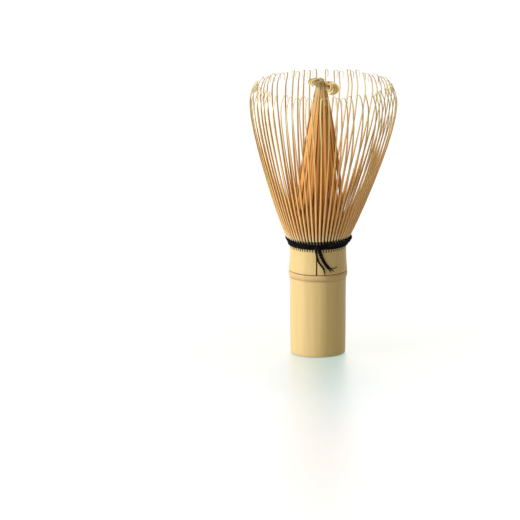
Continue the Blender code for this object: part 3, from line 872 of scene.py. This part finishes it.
thread = {
    "thick": 0.80 * mm,
    "lay": 2.2 * mm,                       # length of one full twist of the plies
    "step": 0.27 * mm,                     # distance between rings along the thread
    "turns": ((12.12, 46.30), (12.42, 46.96), (12.92, 47.62), (13.34, 48.28)),
    "lean": 0.30 * mm,                     # the band leans to +X by this much at its top
    "leanOver": (46.3 * mm, 1.5 * mm),     # from this height, over this much
    "dip": 0.10 * mm,                      # how far the upper turns sink between the tines,
    "dipFrom": (47.1 * mm, 1 * mm),        # from this height, over this much
    "climb": 34,                           # degrees over which a turn climbs to the next
    "bandRadius": 12.7 * mm,               # the turns' radius on average
    "knotGap": (0.12, 0.1),                # radians by which the band and the inner turn stop short
    "innerRadius": 11.6 * mm,
    "innerHeight": 49.15 * mm,
    "innerThick": 0.7 * mm,
    "innerSteps": 240,
    "stitchThick": 0.74 * mm,
    "stitch": (                            # out over the top turn and in between two tines
        (13.52, 48.35), (13.54, 48.85), (13.38, 49.35), (12.95, 49.72), (12.25, 49.82), (11.6, 49.55),
    ),
}


def makePlyOutline():
    # the section of a two-ply thread, 1 across, which every thread curve is drawn with
    curve = bpy.data.curves.new("plyOutline", "CURVE")
    curve.dimensions = "2D"
    spline = curve.splines.new("POLY")
    spline.points.add(9)
    for k, point in enumerate(spline.points):
        angle = math.tau * k / 10
        reach = 0.5 * (0.80 + 0.20 * math.cos(2 * angle))
        point.co = (reach * math.cos(angle), reach * math.sin(angle), 0, 1)
    spline.use_cyclic_u = True
    return addObject("plyOutline", curve)


plyOutline = makePlyOutline()


def evenPoints(points, step):
    # points an even step apart along a line through the given ones
    spread = []
    for a, b, c, d in zip([points[0]] + points, points, points[1:], points[2:] + [points[-1]]):
        count = max(1, round((c - b).length / step))
        for k in range(count):
            t = k / count
            spread.append(0.5 * (
                2 * b + (c - a) * t + (2 * a - 5 * b + 4 * c - d) * t * t
                + (3 * b - a - 3 * c + d) * t ** 3
            ))
    spread.append(points[-1])
    return spread


def drawThreads(name, lines, thick, taper=1.0):
    # one mesh of twisted threads, each along its own line of points
    curve = bpy.data.curves.new(name, "CURVE")
    curve.dimensions = "3D"
    curve.bevel_mode = "OBJECT"
    curve.bevel_object = plyOutline
    curve.use_fill_caps = True
    for line in lines:
        spline = curve.splines.new("POLY")
        spline.points.add(len(line) - 1)
        gone = 0.0
        for k, (corner, point) in enumerate(zip(spline.points, line)):
            gone += (point - line[max(k - 1, 0)]).length
            corner.co = (*point, 1)
            corner.tilt = math.tau * gone / thread["lay"]
            corner.radius = thick * mix(1, taper, ease((k / (len(line) - 1) - 0.8) / 0.2))
    makeActive(addObject(name, curve))
    bpy.ops.object.convert(target="MESH")
    piece = bpy.context.object
    weld(piece)
    piece.data.materials.append(cottonThread)
    bpy.ops.object.shade_smooth_by_angle(angle=math.radians(60))
    return piece


def threadPoint(angle, radius, height):
    # the angle is counted from the front
    low, over = thread["leanOver"]
    return aroundAxis(front + angle, radius, height, thread["lean"] * ease((height - low) / over))


def bandPoint(angle):
    # a point of the winding; the angle is counted from the front through all the turns
    turns = thread["turns"]
    climb = math.radians(thread["climb"])
    climbed = sum(
        ease((angle - turn * math.tau + climb / 2) / climb) for turn in range(1, len(turns))
    )
    low = min(int(climbed), len(turns) - 2)
    share = climbed - low
    radius = mix(turns[low][0], turns[low + 1][0], share) * mm
    height = mix(turns[low][1], turns[low + 1][1], share) * mm
    dipFrom, over = thread["dipFrom"]
    sink = thread["dip"] * ease((height - dipFrom) / over)
    radius -= sink * 0.5 * (1 + math.cos(whisk["tines"] * angle))
    return threadPoint(angle, radius, height)


def makeBand():
    whole = len(thread["turns"]) * math.tau
    count = round(whole * thread["bandRadius"] / thread["step"])
    gap = thread["knotGap"][0]
    line = [bandPoint(mix(gap, whole - gap, k / count)) for k in range(count + 1)]
    piece = drawThreads("threadBand", [line], thread["thick"])
    finishPiece(piece, "thread_outer_winding")


def makeInnerTurn():
    # the turn between the two rows, and the stitches that go out to it between the tines
    steps = thread["innerSteps"]
    gap = thread["knotGap"][1]
    angles = [gap + (math.tau - 2 * gap) * k / steps for k in range(steps + 1)]
    line = [threadPoint(angle, thread["innerRadius"], thread["innerHeight"]) for angle in angles]
    turn = drawThreads("innerTurn", [line], thread["innerThick"])
    stitches = [
        [threadPoint(index * pitch, radius * mm, height * mm) for radius, height in thread["stitch"]]
        for index in range(whisk["tines"])
    ]
    loops = drawThreads("stitches", stitches, thread["stitchThick"])
    piece = joinAll("threadInnerTurn", [turn, loops])
    finishPiece(piece, "thread_inner_turn")


knot = {
    "place": (-0.5 * mm, -13.7 * mm, 47.3 * mm),
    "size": (0.40 * mm, 0.30 * mm, 0.42 * mm),
    "pull": 0.62,                          # its loops are drawn in by this, sideways and upwards
    "drawn": 0.985,                        # share of the trefoil that is drawn, so that its ends part
    "steps": 120,
    "thick": 0.70 * mm,
}


def makeKnot():
    # an overhand knot pulled tight, drawn as a flattened trefoil
    x0, y0, z0 = knot["place"]
    a, b, c = knot["size"]
    line = []
    for k in range(knot["steps"] + 1):
        t = math.tau * k / knot["steps"] * knot["drawn"]
        line.append(Vector((
            axisX + x0 + a * (math.sin(t) + 2 * math.sin(2 * t)) * knot["pull"],
            y0 - b * math.sin(3 * t),
            z0 + c * (math.cos(t) - 2 * math.cos(2 * t)) * knot["pull"],
        )))
    piece = drawThreads("threadKnot", [line], knot["thick"])
    finishPiece(piece, "thread_knot")


tails = {
    "thick": 0.94 * mm,
    "lie": 0.34 * mm,                      # from the culm's skin to the middle of a strand
    "start": (-13.55 * mm, 46.9 * mm),     # under the knot, in Y and Z
    "left": ((-0.98, 46.1), (-0.73, 44.2), (-0.36, 42.3), (0.2, 40.8), (1.24, 39.3), (2.16, 38.1),
             (2.46, 37.0), (2.7, 35.9)),
    "right": ((0.27, 46.1), (0.5, 44.6), (1.0, 43.1), (1.72, 41.5), (2.6, 40.0), (3.7, 38.5),
              (4.5, 37.6), (4.9, 36.9)),
    "rightTwin": ((0.92, 46.1), (1.2, 44.6), (1.75, 43.1), (2.42, 41.5), (3.3, 40.0), (4.4, 38.5),
                  (5.3, 37.6), (6.1, 36.9)),
    "fibre": ((4.6, 38.3), (5.5, 37.9), (6.3, 37.75), (7.1, 37.8), (7.8, 38.3)),   # one that stands off
    "fibreThick": 0.3 * mm,
    "knob": 0.74,                          # where the left end is nipped, as a share of its length
    "hairs": 6,
    "hairThick": 0.11 * mm,
}


def tailLine(points, fromKnot=True):
    # down from under the knot, then along the skin through the (sideways, height) points
    line = [Vector((axisX + points[0][0] * mm, *tails["start"]))] if fromKnot else []
    for x, height in points:
        reach = collarRadius(height * mm) + tails["lie"]
        line.append(Vector((axisX + x * mm, -math.sqrt(reach ** 2 - (x * mm) ** 2), height * mm)))
    return evenPoints(line, thread["step"])


def frayLines(line):
    # loose fibres at the end of a line
    tip = line[-1]
    along = (line[-1] - line[-4]).normalized()
    hairs = []
    for _ in range(tails["hairs"]):
        spread = Vector((chance.uniform(-1, 1), chance.uniform(-0.5, 0.0), chance.uniform(-0.6, 0.6)))
        reach = chance.uniform(0.5, 1.1) * mm
        start = tip - along * 0.3 * mm
        hairs.append([start + (along + spread * 0.6 * t) * reach * t for t in (0, 0.35, 0.7, 1)])
    return hairs


def makeTails():
    left = tailLine(tails["left"])
    nipped = left[:round(len(left) * tails["knob"])]
    pair = [tailLine(tails["right"]), tailLine(tails["rightTwin"])]
    for name, lines, frayed, node in (
        ("tailLeft", [left], [left, nipped, nipped], "thread_tail_left"),
        ("tailRight", pair, pair, "thread_tail_right"),
    ):
        strands = drawThreads(name, lines, tails["thick"], taper=0.6)
        loose = [hair for line in frayed for hair in frayLines(line)]
        hairs = drawThreads(name + "Fray", loose, tails["hairThick"])
        parts = [strands, hairs]
        if lines is pair:
            parts.append(drawThreads("fibre", [tailLine(tails["fibre"], False)], tails["fibreThick"]))
        piece = joinAll(name, parts)
        finishPiece(piece, node)


makeBand()
makeInnerTurn()
makeKnot()
makeTails()
bpy.data.objects.remove(plyOutline, do_unlink=True)
say("thread wound and knotted")


# Floor, light and camera.

studio = {
    "elevation": 13.2,                     # the camera looks down by this much
    "target": (-26.0 * mm, 0.0, 38.95 * mm),
    "distance": 4.0,
    "viewWidth": 215.5 * mm,               # what the picture shows at the target
    "ambient": 0.22,
    "ambientColour": "#FFF8B4",            # the faint light from all sides is warm
    "floorMirror": 0.8,                    # how much of the floor's look is its polish
    "floorDim": (15 * mm, 600 * mm),       # its glow is dimmer up to the first, as painted shade round the foot, and full from the second on
    "floorSize": 6.0,
    "floorDrop": 0.05 * mm,                # it lies this far under the foot
    "lampDistance": 1.0,
    "lampAim": 60 * mm,                    # the height that the lamps face
}
lamps = {                                  # azimuth 0 is the camera's side, and minus is its left
    "keyLamp": {"azimuth": -67, "elevation": 32, "size": 0.6, "power": 12.0, "colour": "#EFF4FF"},
    "backLamp": {"azimuth": 180, "elevation": 58, "size": 0.5, "power": 5.0, "colour": "#FFFFFF"},
}


def seenDirectly(tree):
    # 1 for what the camera sees, also in a gloss or through glass, and 0 for light on the whisk
    rays = addNode(tree, "ShaderNodeLightPath")
    seen = rays.outputs["Is Camera Ray"]
    for kind in ("Is Glossy Ray", "Is Transmission Ray"):
        seen = addNode(tree, "ShaderNodeMath", {0: seen, 1: rays.outputs[kind]}, operation="MAXIMUM")
    return seen


def makeFloor():
    # a glossy white sheet: it mirrors the foot softly, in a cooler tone, its glow is painted dimmer
    # round the foot as shade, and it is white elsewhere; that look is for the camera, and the whisk
    # itself gets only a plain floor's faint light back
    deselectAll()
    bpy.ops.mesh.primitive_plane_add(size=studio["floorSize"], location=(0, 0, -studio["floorDrop"]))
    floor = bpy.context.object
    floor.name = "floor"
    material, tree, plain = newMaterial("glossy white sheet")
    feed(tree, plain, {
        "Base Color": hexColour("#484C48"), "Roughness": 0.4, "IOR": 2.8, "Specular IOR Level": 1.0,
    })
    place = addNode(tree, "ShaderNodeTexCoord").outputs["Object"]
    reach = addNode(tree, "ShaderNodeVectorMath", {0: place}, operation="LENGTH")
    near, far = studio["floorDim"]
    away = addNode(tree, "ShaderNodeMapRange", {
        "Value": reach.outputs["Value"], "From Min": near, "From Max": far,
    })
    # the glow's colour: painted shade, dimmer and greener near the foot, full further off
    white = addNode(tree, "ShaderNodeValToRGB", {"Fac": away}, stops=(
        (0.0, "#9AC1BC"), (1.0, "#C2D0D0"), (0.12, "#A6CBCC"), (0.3, "#ACCBCC"),
    ))
    shown = addNode(tree, "ShaderNodeBsdfPrincipled", {
        "Base Color": hexColour("#B8908B"), "Metallic": studio["floorMirror"], "Roughness": 0.37,
        "Emission Color": white, "Emission Strength": 1.0,
    })
    either = addNode(tree, "ShaderNodeMixShader", {0: seenDirectly(tree), 1: plain, 2: shown})
    feed(tree, tree.nodes["Material Output"], {"Surface": either})
    floor.data.materials.append(material)


def makeWorld():
    # white behind the whisk, and a faint warm light on it from all sides
    world = bpy.data.worlds.new("studio")
    bpy.context.scene.world = world
    world.use_nodes = True
    tree = world.node_tree
    seen = seenDirectly(tree)
    level = addNode(tree, "ShaderNodeMapRange", {
        "Value": seen, "To Min": studio["ambient"], "To Max": 1.0,
    })
    colour = addNode(tree, "ShaderNodeMix", {
        0: seen, mixA: hexColour(studio["ambientColour"]), mixB: (1, 1, 1, 1),
    }, data_type="RGBA")
    feed(tree, tree.nodes["Background"], {"Color": colour.outputs[mixOut], "Strength": level})


def addLamp(name, azimuth, elevation, size, power, colour):
    # a square softbox that faces the whisk
    a, e = math.radians(azimuth), math.radians(elevation)
    way = Vector((math.sin(a) * math.cos(e), -math.cos(a) * math.cos(e), math.sin(e)))
    lamp = bpy.data.lights.new(name, "AREA")
    lamp.shape = "SQUARE"
    lamp.size = size
    lamp.energy = power
    lamp.color = hexColour(colour)[:3]
    holder = addObject(name, lamp)
    holder.location = Vector((0, 0, studio["lampAim"])) + way * studio["lampDistance"]
    holder.rotation_euler = way.to_track_quat("Z", "Y").to_euler()


def makeCamera():
    data = bpy.data.cameras.new("camera")
    data.lens = data.sensor_width * studio["distance"] / studio["viewWidth"]
    camera = addObject("camera", data)
    tilt = math.radians(studio["elevation"])
    back = Vector((0, -math.cos(tilt), math.sin(tilt))) * studio["distance"]
    camera.location = Vector(studio["target"]) + back
    camera.rotation_euler = (math.radians(90) - tilt, 0, 0)
    bpy.context.scene.camera = camera


makeFloor()
makeWorld()
for lampName, settings in lamps.items():
    addLamp(lampName, **settings)
makeCamera()
bpy.context.scene.view_settings.view_transform = "Standard"
say("studio set")
